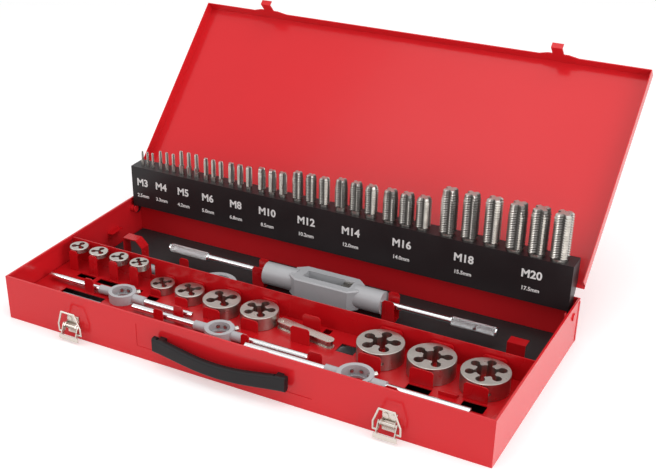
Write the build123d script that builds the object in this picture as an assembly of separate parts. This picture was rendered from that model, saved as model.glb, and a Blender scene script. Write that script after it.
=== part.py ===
"""Tap and die set in a hinged steel case: 54 mm closed case, 516 mm wide.

Frame: origin at the middle of the base's underside, +X right, +Y to the hinge, +Z up.
The parts stand as shown when the set is open: lid back, tap rack upright, latches down.
"""

import math
import os

from build123d import *

# ---------------------------------------------------------------- case
CASE_W = 516.0          # outer width of the base
CASE_D = 232.0          # outer depth of the base
CASE_H = 48.0           # height of the base walls
SHEET = 1.0             # steel sheet
HEM = 4.0               # height of the folded hem under the rim
SEAM_W = 3.0            # rear flange seen on the side walls
SEAM_T = 0.5
PANEL = (-100.0, 89.0, 13.5, 38.0)   # pressed panel behind the handle: x0, x1, z0, z1
PANEL_DEPTH = 0.5
MIDDLE_X = -5.0         # middle of handle and latches on the front wall

# ---------------------------------------------------------------- hinge and lid
PIN_R = 0.9
PIN_PLAY = 0.05         # running clearance between pin and knuckles
KNUCKLE_R = 2.0
HINGE_Y = CASE_D / 2 + 1.0
HINGE_Z = 57.0
HINGE_INSET = 8.0       # from the side wall to the end of the hinge strip
HINGE_HALF = CASE_W / 2 - HINGE_INSET
KNUCKLES = 11
KNUCKLE_GAP = 0.4
OPEN_DEG = 136.0        # the lid's opening angle
LID_GAP = 0.7           # between lid flanges and base walls
SIDE_FLANGE_Z = 46.5    # lower edges of the lid's flanges when closed
FRONT_FLANGE_Z = 46.5
TONGUE_Z = 42.5         # lower edge of the two latch tongues
TONGUE_FLAT = 22.0
TONGUE_FLANK = 10.0
HOOK_Z = 30.0           # lower edge of the narrow catch on each tongue
HOOK_HALF = 6.0
HOOK_OUT = 4.8
HOOK_LIP = 1.1
LATCH_PITCH = 170.0     # latches either side of MIDDLE_X

# ---------------------------------------------------------------- tap rack
RACK_SIDE_GAP = 5.5     # between rack and outside of the case
RACK_HALF = CASE_W / 2 - RACK_SIDE_GAP
RACK_DEPTH = 22.0
RACK_Y1 = CASE_D / 2 + 2.5
RACK_Y0 = RACK_Y1 - RACK_DEPTH
RACK_Z0, RACK_Z1 = 41.0, 89.0
RACK_BACK_Z = 64.0      # lower edge of the short rear flange
RACK_T = 1.2
PIVOT_Y, PIVOT_Z = RACK_Y0 + 1.2, 36.0
PIVOT_R = 2.5
PIVOT_PLAY = 0.06
SHELF_PLAY = 0.4        # between the shelf under the taps and the rear wall's hem
HOLE_PLAY = 0.3         # radial room round loose tools and plain shanks

# name: thread, length, thread length, shank, square, group x, pitch, height above rack
TAPS = {
    "m3": (3, 40, 11, 3.5, 2.7, -236.0, 6.9, 16.0),
    "m4": (4, 45, 13, 4.5, 3.4, -210.0, 8.5, 20.5),
    "m5": (5, 50, 16, 6, 4.9, -181.0, 9.8, 26.0),
    "m6": (6, 56, 19, 6, 4.9, -149.5, 9.6, 24.0),
    "m8": (8, 63, 22, 6, 4.9, -116.0, 11.0, 25.0),
    "m10": (10, 70, 24, 7, 5.5, -76.5, 12.8, 27.0),
    "m12": (12, 75, 29, 9, 7, -30.0, 15.6, 31.5),
    "m14": (14, 80, 30, 11, 9, 22.0, 17.0, 34.0),
    "m16": (16, 80, 32, 12, 9, 78.0, 18.0, 34.0),
    "m18": (18, 95, 46, 14, 11, 145.0, 22.5, 48.5),
    "m20": (20, 95, 46, 16, 12, 213.5, 22.0, 48.5),
}

# ---------------------------------------------------------------- tray
DECK_Z = 21.8           # top of the raised deck
PART_Y = -11.2          # front face of the partition
PART_Z = 46.5
FLOOR_PLAY = 0.2
TRAY_X = CASE_W / 2 - 2 * SHEET - FLOOR_PLAY
RIVET_TAIL = 0.8        # height of the rivets' inner heads
MAT_T = 2.0
TAB_GAP = 0.4           # tab to die
POST_TOP = 45.8         # top face of the four small dies
SMALL_POST_W = 10.0

# name: outer diameter, thickness, x, y, raised on a post
DIES = {
    "m3": (20, 5, -237.5, -23.0, True),
    "m4": (20, 5, -212.0, -23.0, True),
    "m5": (20, 7, -186.0, -23.0, True),
    "m6": (20, 7, -160.5, -23.0, True),
    "m8": (25, 9, -130.7, -25.6, False),
    "m10": (30, 11, -96.3, -28.0, False),
    "m12": (38, 14, -55.6, -32.4, False),
    "m14": (38, 14, -12.6, -32.4, False),
    "m16": (45, 18, 118.2, -36.6, False),
    "m18": (45, 18, 169.0, -36.6, False),
    "m20": (45, 18, 220.1, -36.6, False),
}
DIMPLED = ("m16", "m20")

# upright tabs on the deck: x0, x1, y of the front face, top
TABS = (
    (-199.0, -188.0, -66.2, 38.0),
    (-90.0, -79.0, -67.2, 36.0),
    (-104.0, -93.0, -81.2, 36.0),
    (-5.0, 4.0, -81.2, 36.0),
    (21.0, 32.0, -92.2, 32.0),
    (64.0, 78.0, -76.0, 35.0),
    (148.0, 161.0, -92.2, 34.0),
    (31.0, 51.0, -50.0, 39.0),
    (30.0, 49.0, -23.5, 38.0),
)
# openings in the deck left by the bent-up tabs: x0, x1, y0, y1
SLOTS = (
    (-228.0, -207.0, -44.0, -36.0),
    (-202.0, -178.0, -45.0, -36.0),
    (-168.0, -148.0, -45.0, -36.0),
    (-137.0, -124.0, -49.0, -41.0),
    (50.5, 58.0, -22.0, -13.5),
    (76.0, 94.0, -45.0, -30.0),
    (158.0, 181.0, -72.0, -62.0),
    (211.0, 233.0, -76.0, -63.0),
    (-222.0, -171.5, -87.0, -68.0),
)
LOUVRE = (188.0, 205.0, -66.0, -58.0)

# ---------------------------------------------------------------- die holders
# name: x, y, z of the underside, ring radius, die radius, height, rod radius, left end, right end
HOLDERS = {
    "1": (-155.5, -61.0, DECK_Z, 14.0, 10.0, 10.0, 3.0, -247.0, -72.0),
    "2": (-32.0, -75.0, DECK_Z, 14.5, 10.0, 10.0, 3.3, -133.0, 63.0),
    "3": (117.0, -86.5, DECK_Z, 17.0, 12.5, 12.0, 4.0, 3.0, 226.0),
    "4": (-98.0, 25.0, SHEET + MAT_T, 21.0, 15.0, 13.0, 5.0, -238.0, 42.0),
    "5": (95.0, -37.2, SHEET + MAT_T, 25.0, 19.0, 15.0, 4.5, -62.0, 252.0),
    "6": (0.0, -72.5, SHEET + MAT_T, 30.0, 22.5, 17.0, 6.0, -225.0, 225.0),
}
BOSS_LONG = 13.0
SCREW_R = 1.6
SCREW_HEAD_R = 2.6
SCREW_ANGLES = (50.0, 90.0, 130.0)

# ---------------------------------------------------------------- tap wrench
WR_Y, WR_Z = RACK_Y0 - 35.0, 20.0
COLLAR_R = 12.0
WR_BODY = (-27.0, 52.0)
COLLAR_LEFT, COLLAR_RIGHT = -58.0, 77.0
BODY_HALF_Y = 16.0
BODY_HALF_Z = 11.0
ROD_R = 3.5
GRIP_R = 4.8
GRIP_LEFT = (-179.0, -129.0)
GRIP_RIGHT = (149.0, 196.5)
WINDOW = (-12.0, 41.0, 6.8)
JAW_LONG = 11.0
SPINDLE_PLAY = 0.08     # radial room of the turning rod in body and jaw
TOMMY_X = 175.0
SADDLES = ((-72.0, -56.0 - 2.6), (78.0, 91.0))

# ---------------------------------------------------------------- thread gauge
GAUGE = (40.0, -36.5, -10.0)     # x, y, turn about Z
GAUGE_LONG, GAUGE_WIDE = 56.0, 10.0
GAUGE_PLATE = 1.0
GAUGE_H = 8.0
GAUGE_PIN_R = 2.0
LEAVES = 4
LEAF_T = 1.0

# ---------------------------------------------------------------- latches and handle
LATCH_W = 14.0
LATCH_Z = (6.5, 26.0)
LATCH_T = 1.2
LEVER_Y = 4.6           # lever axis in front of the wall
LEVER_Z = 16.0
LEVER_PIN_R = 1.5
LEVER_W = 22.5
WIRE_R = 1.0
HANDLE_HALF = 71.0
HANDLE_T = 7.0
HANDLE_Z = (18.0, 33.5)
HANDLE_Y = 5.6          # pivot axis in front of the wall
HANDLE_PIN_Z = 29.5
HANDLE_PIN_R = 1.6
HANDLE_BRACKET = 6.4    # width of the two brackets
HANDLE_BOW_Z = 6.0
HANDLE_BOW_Y = 4.0


def box(x0, x1, y0, y1, z0, z1):
    """A block given by its two corners."""
    size = (x1 - x0, y1 - y0, z1 - z0)
    middle = ((x0 + x1) / 2, (y0 + y1) / 2, (z0 + z1) / 2)
    return Pos(*middle) * Box(*size)


def rod(radius, start, end):
    """A round bar from start to end."""
    a, b = Vector(*start), Vector(*end)
    plane = Plane(origin=a, z_dir=(b - a).normalized())
    return extrude(plane * Circle(radius), (b - a).length)


def turned(part, y, z, degrees):
    """The part swung about a left-to-right axis; positive lowers its front."""
    return Pos(0, y, z) * Rot(degrees, 0, 0) * Pos(0, -y, -z) * part


def prism_x(points, x0, x1):
    """A (y, z) outline drawn out from x0 to x1."""
    face = Plane(origin=(x0, 0, 0), x_dir=(0, 1, 0), z_dir=(1, 0, 0)) * make_face(Polyline(*points, close=True))
    return extrude(face, x1 - x0)


def prism_y(points, y0, y1):
    """An (x, z) outline drawn out from y0 to y1."""
    face = Plane(origin=(0, y1, 0), x_dir=(1, 0, 0), z_dir=(0, -1, 0)) * make_face(Polyline(*points, close=True))
    return extrude(face, y1 - y0)


def fused(parts):
    """All the given parts as one."""
    whole = parts[0]
    for item in parts[1:]:
        whole = whole + item
    return whole


def upright_tab(x0, x1, y0, z1, thickness=SHEET, z0=DECK_Z):
    """A bent-up tab with clipped upper corners."""
    cut = 2.0
    points = [(x0, z0), (x1, z0), (x1, z1 - cut), (x1 - cut, z1), (x0 + cut, z1), (x0, z1 - cut)]
    return prism_y(points, y0, y0 + thickness)


# ================================================================ case
def knuckle_spans():
    """The x ranges of the hinge knuckles, from the left."""
    pitch = 2 * HINGE_HALF / KNUCKLES
    starts = [-HINGE_HALF + i * pitch for i in range(KNUCKLES)]
    return [(s + KNUCKLE_GAP / 2, s + pitch - KNUCKLE_GAP / 2) for s in starts]


def knuckle(x0, x1):
    """One rolled knuckle with its bore."""
    outer = rod(KNUCKLE_R, (x0, HINGE_Y, HINGE_Z), (x1, HINGE_Y, HINGE_Z))
    bore = rod(PIN_R + PIN_PLAY, (x0 - 1, HINGE_Y, HINGE_Z), (x1 + 1, HINGE_Y, HINGE_Z))
    return outer, bore


def base_case():
    w, d = CASE_W / 2, CASE_D / 2
    shell = box(-w, w, -d, d, 0, CASE_H)
    shell -= box(-w + SHEET, w - SHEET, -d + SHEET, d - SHEET, SHEET, CASE_H + 1)
    shell = fillet(shell.edges().filter_by(Axis.X).sort_by(Axis.Z)[0:2], 0.8)
    hem = box(-w + SHEET, w - SHEET, -d + SHEET, d - SHEET, CASE_H - HEM, CASE_H)
    hem -= box(-w + 2 * SHEET, w - 2 * SHEET, -d + 2 * SHEET, d, CASE_H - HEM - 1, CASE_H + 1)
    body = shell + hem
    x0, x1, z0, z1 = PANEL
    body += box(x0 - 1, x1 + 1, -d + SHEET, -d + SHEET + PANEL_DEPTH, z0 - 1, z1 + 1)
    body -= box(x0, x1, -d - 1, -d + PANEL_DEPTH, z0, z1)
    for side in (-1, 1):
        seam = sorted((side * w, side * (w + SEAM_T)))
        body += box(seam[0], seam[1], d - SEAM_W, d, 0.8, SIDE_FLANGE_Z - 2.0)
        hole = sorted((side * (w - 2 * SHEET), side * (w + 1)))
        body -= rod(PIVOT_R + PIVOT_PLAY, (hole[0], PIVOT_Y, PIVOT_Z), (hole[1], PIVOT_Y, PIVOT_Z))
    bores = []
    for i, (k0, k1) in enumerate(knuckle_spans()):
        if i % 2:
            body += box(k0, k1, d - SHEET, d, CASE_H - 1, HINGE_Z - KNUCKLE_R - 1.2)
            continue
        outer, bore = knuckle(k0, k1)
        body += box(k0, k1, d - SHEET, d, CASE_H - 1, HINGE_Z) + outer
        bores.append(bore)
    for bore in bores:
        body -= bore
    for x, z in fixing_points():
        body -= rod(RIVET_R + HOLE_PLAY, (x, -d - 1, z), (x, -d + 3, z))
    return body


def hinge_pin():
    return rod(PIN_R, (-HINGE_HALF + 1, HINGE_Y, HINGE_Z), (HINGE_HALF - 1, HINGE_Y, HINGE_Z))


def tongue(x):
    """One latch tongue of the lid's front flange with its hooked lower edge."""
    y1 = -CASE_D / 2 - LID_GAP
    y0 = y1 - SHEET
    half, wide = TONGUE_FLAT / 2, TONGUE_FLAT / 2 + TONGUE_FLANK
    points = [(x - wide, FRONT_FLANGE_Z), (x - half, TONGUE_Z), (x + half, TONGUE_Z), (x + wide, FRONT_FLANGE_Z)]
    plate = prism_y(points, y0, y1)
    a, b = x - HOOK_HALF, x + HOOK_HALF
    strap = box(a, b, y0, y1, HOOK_Z, TONGUE_Z + 1)
    shelf = box(a, b, y0 - HOOK_OUT, y0 + 0.5, HOOK_Z, HOOK_Z + 0.9)
    lip = box(a, b, y0 - HOOK_OUT, y0 - HOOK_OUT + 0.9, HOOK_Z, HOOK_Z + HOOK_LIP)
    return plate + strap + shelf + lip


def lid_closed():
    """The lid as it lies when shut."""
    wi = CASE_W / 2 + LID_GAP
    wo = wi + SHEET
    y_in = -CASE_D / 2 - LID_GAP
    y_out = y_in - SHEET
    top = HINGE_Z + KNUCKLE_R
    rear = CASE_D / 2 - 3.0
    plate = box(-wo, wo, y_out, rear, top - SHEET, top)
    plate += box(-wo, wo, y_out, y_in, FRONT_FLANGE_Z, top)
    plate += box(-wo, -wi, y_out, rear, SIDE_FLANGE_Z, top)
    plate += box(wi, wo, y_out, rear, SIDE_FLANGE_Z, top)
    plate = fillet(plate.edges().filter_by(Axis.Y).sort_by(Axis.Z)[-2:], 0.8)
    for side in (-1, 1):
        plate += tongue(MIDDLE_X + side * LATCH_PITCH)
    plate += box(-wo, -HINGE_HALF, rear, HINGE_Y - 1, top - SHEET, top)
    plate += box(HINGE_HALF, wo, rear, HINGE_Y - 1, top - SHEET, top)
    bores = []
    for i, (k0, k1) in enumerate(knuckle_spans()):
        if i % 2 == 0:
            continue
        outer, bore = knuckle(k0, k1)
        plate += box(k0, k1, rear - 1, HINGE_Y, top - SHEET, top) + outer
        bores.append(bore)
    for bore in bores:
        plate -= bore
    return plate


def lid():
    return turned(lid_closed(), HINGE_Y, HINGE_Z, -OPEN_DEG)


# ================================================================ tap rack
def tap_positions(name):
    """The x positions of the three taps of one size."""
    centre, pitch = TAPS[name][5], TAPS[name][6]
    return [centre + k * pitch for k in (-1, 0, 1)]


def tap_y():
    """Middle of the widest shank, clear of the rack's front plate."""
    widest = max(row[3] for row in TAPS.values())
    return RACK_Y0 + RACK_T + HOLE_PLAY + widest / 2


def tap_foot(name):
    """Height of the lower ends of one size, on the stepped shelf."""
    return RACK_Z1 + TAPS[name][7] - TAPS[name][1]


def tap_rack():
    t = RACK_T
    h = RACK_HALF
    body = box(-h, h, RACK_Y0, RACK_Y0 + t, RACK_Z0, RACK_Z1)
    body += box(-h, h, RACK_Y0, RACK_Y1, RACK_Z1 - t, RACK_Z1)
    body += box(-h, h, RACK_Y1 - t, RACK_Y1, RACK_BACK_Z, RACK_Z1)
    low = PIVOT_Z - 6.0
    end = [
        (RACK_Y0, low + 3), (RACK_Y0 + 3, low), (PIVOT_Y + 8, low), (CASE_D / 2 - 4, low + 8),
        (CASE_D / 2 - 4, CASE_H + 3), (RACK_Y1, RACK_BACK_Z), (RACK_Y1, RACK_Z1), (RACK_Y0, RACK_Z1),
    ]
    for side in (-1, 1):
        x0, x1 = sorted((side * h, side * (h - t)))
        body += prism_x(end, x0, x1)
        body -= rod(PIVOT_R + HOLE_PLAY, (x0 - 1, PIVOT_Y, PIVOT_Z), (x1 + 1, PIVOT_Y, PIVOT_Z))
    for name, row in TAPS.items():
        radius = hole_radius(name)
        for x in tap_positions(name):
            body -= rod(radius, (x, tap_y(), RACK_Z1 - t - 1), (x, tap_y(), RACK_Z1 + 1))
    return body


def hole_radius(name):
    """The rack's hole for one tap size: round the shank, or the thread if that reaches down."""
    thread, thread_long, shank, above = (TAPS[name][i] for i in (0, 2, 3, 7))
    widest = shank if above >= thread_long + RACK_T else max(thread, shank)
    return widest / 2 + HOLE_PLAY


def rack_shelf():
    """The stepped strip that the taps stand on."""
    y0, y1 = RACK_Y0 + RACK_T, CASE_D / 2 - 2 * SHEET - SHELF_PLAY
    inner = RACK_HALF - RACK_T
    names = list(TAPS)
    edges = [-inner]
    for a, b in zip(names, names[1:]):
        edges.append((tap_positions(a)[-1] + tap_positions(b)[0]) / 2)
    edges.append(inner)
    pieces = []
    for i, name in enumerate(names):
        z = tap_foot(name)
        pieces.append(box(edges[i], edges[i + 1], y0, y1, z - SHEET, z))
        if i:
            before = tap_foot(names[i - 1])
            low, high = sorted((before, z))
            pieces.append(box(edges[i] - SHEET / 2, edges[i] + SHEET / 2, y0, y1, low - SHEET, high))
    return fused(pieces)


def rack_rivets():
    """Shouldered pivot rivets: head outside, shank in the wall, collar, tail through the rack's end."""
    rivets = []
    for side in (-1, 1):
        def at(x):
            return (side * x, PIVOT_Y, PIVOT_Z)
        wall = CASE_W / 2
        piece = rod(4.0, at(wall), at(wall + 1.2))
        piece += rod(PIVOT_R, at(RACK_HALF - RACK_T - 1), at(wall))
        piece += rod(3.8, at(RACK_HALF), at(wall - SHEET))
        piece += rod(3.8, at(RACK_HALF - RACK_T - 1.4), at(RACK_HALF - RACK_T))
        rivets.append(piece)
    return Compound(children=rivets)


def tap(name, x):
    """One hand tap standing on its square: thread up."""
    d, length, thread_long, shank, square = TAPS[name][:5]
    flutes = 3 if d <= TAPS["m10"][0] else 4
    y = tap_y()
    z0 = tap_foot(name)
    top = z0 + length
    square_long = square + 2.5
    body = rod(shank / 2, (x, y, z0 + square_long), (x, y, top - thread_long - 1))
    body += rod(d / 2, (x, y, top - thread_long), (x, y, top))
    neck = min(shank, d) / 2 * 0.9
    body += rod(neck, (x, y, top - thread_long - 1), (x, y, top - thread_long))
    body += box(x - square / 2, x + square / 2, y - square / 2, y + square / 2, z0, z0 + square_long)
    tip = body.edges().filter_by(GeomType.CIRCLE).sort_by(Axis.Z)[-1]
    body = chamfer(tip, d * 0.12)
    reach = d * 0.5
    for k in range(flutes):
        a = math.radians(90 + 360 * k / flutes)
        fx, fy = x + reach * math.cos(a), y + reach * math.sin(a)
        body -= rod(d * 0.23, (fx, fy, top - thread_long + 0.5), (fx, fy, top + 1))
    return body


def taps(name):
    return Compound(children=[tap(name, x) for x in tap_positions(name)])


# ================================================================ tray
def die_bottom(name):
    thickness, raised = DIES[name][1], DIES[name][4]
    return POST_TOP - thickness if raised else DECK_Z


def tray_span():
    """Front and back faces of the raised tray."""
    return -CASE_D / 2 + SHEET + PANEL_DEPTH + RIVET_TAIL + FLOOR_PLAY, PART_Y + SHEET


def tray_deck():
    """The raised deck with its openings."""
    front, _ = tray_span()
    body = box(-TRAY_X, TRAY_X, front, PART_Y, DECK_Z - SHEET, DECK_Z)
    for x0, x1, y0, y1 in SLOTS:
        body -= box(x0, x1, y0, y1, DECK_Z - 2, DECK_Z + 1)
    return body


def tray_partition():
    """The wall between deck and rear compartment, with its lug hole."""
    body = box(-TRAY_X, TRAY_X, PART_Y, PART_Y + SHEET, SHEET, PART_Z)
    return body - box(-155.0, -150.0, PART_Y - 1, PART_Y + SHEET + 1, 27.0, 40.0)


def tray_skirt():
    """Front and side strips that the deck stands on."""
    front, _ = tray_span()
    low, high = SHEET, DECK_Z - SHEET
    strips = [box(-TRAY_X, TRAY_X, front, front + SHEET, low, high)]
    strips.append(box(-TRAY_X, -TRAY_X + SHEET, front + SHEET, PART_Y, low, high))
    strips.append(box(TRAY_X - SHEET, TRAY_X, front + SHEET, PART_Y, low, high))
    return Compound(children=strips)


def tray_tabs():
    """All that stands on the deck: holder rests, die clips and the louvre."""
    tabs = [upright_tab(x0, x1, y, top) for x0, x1, y, top in TABS]
    for name, (dia, thick, x, y, raised) in DIES.items():
        if raised:
            continue
        half = dia / 4
        top = DECK_Z + thick
        tabs.append(upright_tab(x - half, x + half, y - dia / 2 - TAB_GAP - SHEET, top - 1.5))
        tabs.append(upright_tab(x - half, x + half, y + dia / 2 + TAB_GAP, top + 1.5))
    x0, x1, y0, y1 = LOUVRE
    tabs.append(prism_x([(y0, DECK_Z), (y1, DECK_Z), (y0 + 1, DECK_Z + 4), (y0, DECK_Z + 4)], x0, x1))
    return Compound(children=tabs)


def die_posts():
    """The four bent posts under the small dies."""
    posts = []
    for name, (dia, thick, x, y, raised) in DIES.items():
        if not raised:
            continue
        half = SMALL_POST_W / 2
        z = die_bottom(name)
        ahead = y - dia / 2 - TAB_GAP - SHEET
        behind = y + dia / 2 + TAB_GAP
        post = upright_tab(x - half, x + half, ahead, z + thick - 1.0)
        post += upright_tab(x - half, x + half, behind, z + thick - 0.5)
        post += box(x - half, x + half, ahead, behind + SHEET, z - SHEET, z)
        posts.append(post)
    return Compound(children=posts)


def chip_holes(name):
    """Number of chip holes round a die's thread."""
    if name in ("m3", "m4", "m5"):
        return 3
    if name in ("m14", "m16", "m18"):
        return 5
    return 6 if name == "m20" else 4


def die(name):
    """A round die: threaded middle, chip holes opening into it."""
    dia, thick, x, y, _ = DIES[name]
    holes = chip_holes(name)
    thread = float(name[1:])
    z = die_bottom(name)
    body = rod(dia / 2, (x, y, z), (x, y, z + thick))
    rims = body.edges().filter_by(GeomType.CIRCLE)
    body = chamfer(rims, 0.4)
    body -= rod(thread / 2 * 0.92, (x, y, z - 1), (x, y, z + thick + 1))
    reach = (thread / 2 + dia / 2) / 2 * 0.9
    radius = min((dia / 2 - thread / 2) * 0.34, reach * math.sin(math.pi / holes) * 0.72)
    start = 90 if holes % 2 else 45
    if holes == 6:
        start = 30
    for k in range(holes):
        a = math.radians(start + 360 * k / holes)
        c, s = math.cos(a), math.sin(a)
        body -= rod(radius, (x + reach * c, y + reach * s, z - 1), (x + reach * c, y + reach * s, z + thick + 1))
        throat = Pos(x, y, z + thick / 2) * Rot(0, 0, math.degrees(a)) * Pos(reach / 2, 0, 0)
        body -= throat * Box(reach, radius * 1.1, thick + 2)
    if name in DIMPLED:
        a = math.radians(-62.0)
        c, s = math.cos(a), math.sin(a)
        outer = (x + (dia / 2 + 1) * c, y + (dia / 2 + 1) * s, z + thick * 0.45)
        inner = (x + (dia / 2 - 2) * c, y + (dia / 2 - 2) * s, z + thick * 0.45)
        body -= rod(1.9, outer, inner)
    return body


def floor_mats():
    """Black mat behind the partition and under the deck."""
    front = -CASE_D / 2 + 2 * SHEET + PANEL_DEPTH + RIVET_TAIL + 2 * FLOOR_PLAY
    back = CASE_D / 2 - SHEET - FLOOR_PLAY
    z0, z1 = SHEET, SHEET + MAT_T
    wide = TRAY_X - SHEET - FLOOR_PLAY
    rear = box(-wide - 1, wide + 1, PART_Y + SHEET + FLOOR_PLAY, back, z0, z1)
    fore = box(-wide, wide, front, PART_Y - FLOOR_PLAY, z0, z1)
    return Compound(children=[rear, fore])


def wrench_saddles():
    """Two U-shaped stands, each with a front tab, a taller back tab and a cross web."""
    floor = SHEET + MAT_T
    stands = []
    for x0, x1 in SADDLES:
        y0, y1 = WR_Y - 7.0, WR_Y + 7.0
        piece = box(x0, x1, y0, y1, floor, floor + SHEET)
        piece += upright_tab(x0, x1, y0, 27.0, z0=floor)
        piece += upright_tab(x0 + 1, x1, y1 - SHEET, 31.0, z0=floor)
        middle = (x0 + x1) / 2
        piece += box(middle - 1, middle + 1, y0, y1, floor, WR_Z - ROD_R - HOLE_PLAY)
        stands.append(piece)
    return Compound(children=stands)


def arch_bracket():
    floor = SHEET + MAT_T
    x0, y0, top = -CASE_W / 2 + 30.0, WR_Y - 21.5, 30.0
    x1, y1 = x0 + 25.0, y0 + 12.0
    outer = [(x0, floor), (x1, floor), (x1, top - 8), (x1 - 8, top), (x0, top)]
    inner = [(x0 + 1, floor), (x1 - 1, floor), (x1 - 1, top - 8.5), (x1 - 8.5, top - 1), (x0 + 1, top - 1)]
    return prism_y(outer, y0, y1) - prism_y(inner, y0 - 1, y1 + 1)


def rear_brackets():
    """Arch, ledge on the left wall, ledge on a leg at the right, clip beside the rear die holder."""
    floor = SHEET + MAT_T
    wall = -CASE_W / 2 + SHEET
    y0, y1 = WR_Y - 11.5, WR_Y + 8.5
    left = box(wall, wall + 7.0, y0, y1, 22.8, 23.8) + box(wall, wall + SHEET, y0, y1, 15.0, 23.8)
    x0, y0 = CASE_W / 2 - 46.0, WR_Y - 17.5
    x1, y1 = x0 + 18.0, y0 + 12.0
    right = box(x0, x1, y0, y1, 23.0, 24.0) + box(x0, x1, y0, y0 + SHEET, floor, 24.0)
    right += box(x0, x1, y0, y1, floor, floor + SHEET)
    y = HOLDERS["4"][1] + HOLDERS["4"][6] + 1.0
    clip = upright_tab(-148.0, -137.0, y, 29.0, z0=floor)
    clip += box(-148.0, -137.0, y, y + 8.0, floor, floor + SHEET)
    return Compound(children=[arch_bracket(), left, right, clip])


# ================================================================ die holders
def holder_ring(key):
    """Ring with a seat for the die and two bosses."""
    x, y, z, ring, seat, height, bar, _, _ = HOLDERS[key]
    zc = z + height / 2
    boss = bar + 1.5
    body = rod(ring, (x, y, z), (x, y, z + height))
    body += rod(boss, (x - ring - BOSS_LONG, y, zc), (x + ring + BOSS_LONG, y, zc))
    body -= rod(seat + HOLE_PLAY, (x, y, z + 2.0), (x, y, z + height + 1))
    body -= rod(seat - 2.0, (x, y, z - 1), (x, y, z + 3))
    if key in ("1", "2", "3"):
        for a in SCREW_ANGLES:
            c, s = math.cos(math.radians(a)), math.sin(math.radians(a))
            body -= rod(SCREW_R + HOLE_PLAY, (x, y, zc), (x + ring * 1.2 * c, y + ring * 1.2 * s, zc))
    return body


def holder_rods(key):
    """The two handle rods, each butting on a boss."""
    x, y, z, ring, _, height, bar, left, right = HOLDERS[key]
    zc = z + height / 2
    reach = ring + BOSS_LONG
    rods = []
    for near, far in ((x - reach, left), (x + reach, right)):
        piece = rod(bar, (near, y, zc), (far, y, zc))
        end = piece.edges().filter_by(GeomType.CIRCLE).sort_by(lambda e: abs(e.center().X - far))[0]
        rods.append(chamfer(end, 0.6))
    return rods


def holder_screws():
    """Clamping screws of the three upper holders."""
    screws = []
    for key in ("1", "2", "3"):
        x, y, z, ring, seat, height = HOLDERS[key][:6]
        zc = z + height / 2
        for a in SCREW_ANGLES:
            c, s = math.cos(math.radians(a)), math.sin(math.radians(a))

            def at(r):
                return (x + r * c, y + r * s, zc)
            piece = rod(SCREW_R, at(seat - 0.6), at(ring + 0.6))
            piece += rod(SCREW_HEAD_R, at(ring + 0.5), at(ring + 4.0))
            screws.append(piece)
    return Compound(children=screws)


def holder_whole(key):
    """A holder whose rods are screwed home: one piece."""
    return fused([holder_ring(key)] + holder_rods(key))


# ================================================================ tap wrench
def wrench_body():
    x0, x1 = WR_BODY
    hb, hz = BODY_HALF_Y, BODY_HALF_Z
    outline = [
        (x0, WR_Y - 8), (x0 + 10, WR_Y - hb), (x1 - 9, WR_Y - hb), (x1, WR_Y - 8),
        (x1, WR_Y + 8), (x1 - 9, WR_Y + hb), (x0 + 10, WR_Y + hb), (x0, WR_Y + 8),
    ]
    face = Plane.XY.offset(WR_Z - hz) * make_face(Polyline(*outline, close=True))
    body = extrude(face, 2 * hz)
    body = chamfer(body.edges().filter_by(Plane.XY).group_by(Axis.Z)[-1], 1.2)
    body += rod(COLLAR_R, (COLLAR_LEFT, WR_Y, WR_Z), (x0 + 6, WR_Y, WR_Z))
    body += rod(COLLAR_R, (x1 - 6, WR_Y, WR_Z), (COLLAR_RIGHT, WR_Y, WR_Z))
    w0, w1, half = WINDOW
    body -= box(w0, w1, WR_Y - half, WR_Y + half, WR_Z - hz - 2, WR_Z + hz + 2)
    body -= rod(ROD_R + SPINDLE_PLAY, (w1 - 1, WR_Y, WR_Z), (COLLAR_RIGHT + 1, WR_Y, WR_Z))
    return body


def wrench_fixed_handle():
    g0, g1 = GRIP_LEFT
    return rod(ROD_R, (COLLAR_LEFT, WR_Y, WR_Z), (g1, WR_Y, WR_Z)) + rod(GRIP_R, (g1, WR_Y, WR_Z), (g0, WR_Y, WR_Z))


def wrench_turning_handle():
    g0, g1 = GRIP_RIGHT
    w1 = WINDOW[1]
    body = rod(ROD_R, (w1 - JAW_LONG + 3.5, WR_Y, WR_Z), (g0, WR_Y, WR_Z))
    body += rod(GRIP_R, (g0, WR_Y, WR_Z), (g1, WR_Y, WR_Z))
    body -= rod(2.0, (TOMMY_X, WR_Y - 8, WR_Z), (TOMMY_X, WR_Y + 8, WR_Z))
    return body


def wrench_jaw():
    """Sliding jaw in the window, bored for the spindle, with a V face."""
    w1, half = WINDOW[1], WINDOW[2] - 0.3
    x0, x1 = w1 - JAW_LONG, w1 - 0.3
    hz = BODY_HALF_Z - 1.5
    body = box(x0, x1, WR_Y - half, WR_Y + half, WR_Z - hz, WR_Z + hz)
    notch = [(x0 - 0.1, WR_Y - 3), (x0 + 3, WR_Y), (x0 - 0.1, WR_Y + 3)]
    face = Plane.XY.offset(WR_Z - hz - 1) * make_face(Polyline(*notch, close=True))
    body -= extrude(face, 2 * hz + 2)
    body -= rod(ROD_R + SPINDLE_PLAY, (x0 + 3.2, WR_Y, WR_Z), (x1 + 1, WR_Y, WR_Z))
    return body


# ================================================================ thread gauge
def gauge_place(part):
    x, y, turn = GAUGE
    return Pos(x, y, DECK_Z) * Rot(0, 0, turn) * part


def gauge_ends():
    return (-GAUGE_LONG / 2, GAUGE_LONG / 2)


def gauge_plate(z):
    """A long plate with round ends."""
    a, b = gauge_ends()
    r = GAUGE_WIDE / 2
    plate = box(a, b, -r, r, z, z + GAUGE_PLATE)
    for x in (a, b):
        plate += rod(r, (x, 0, z), (x, 0, z + GAUGE_PLATE))
    return plate


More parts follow.
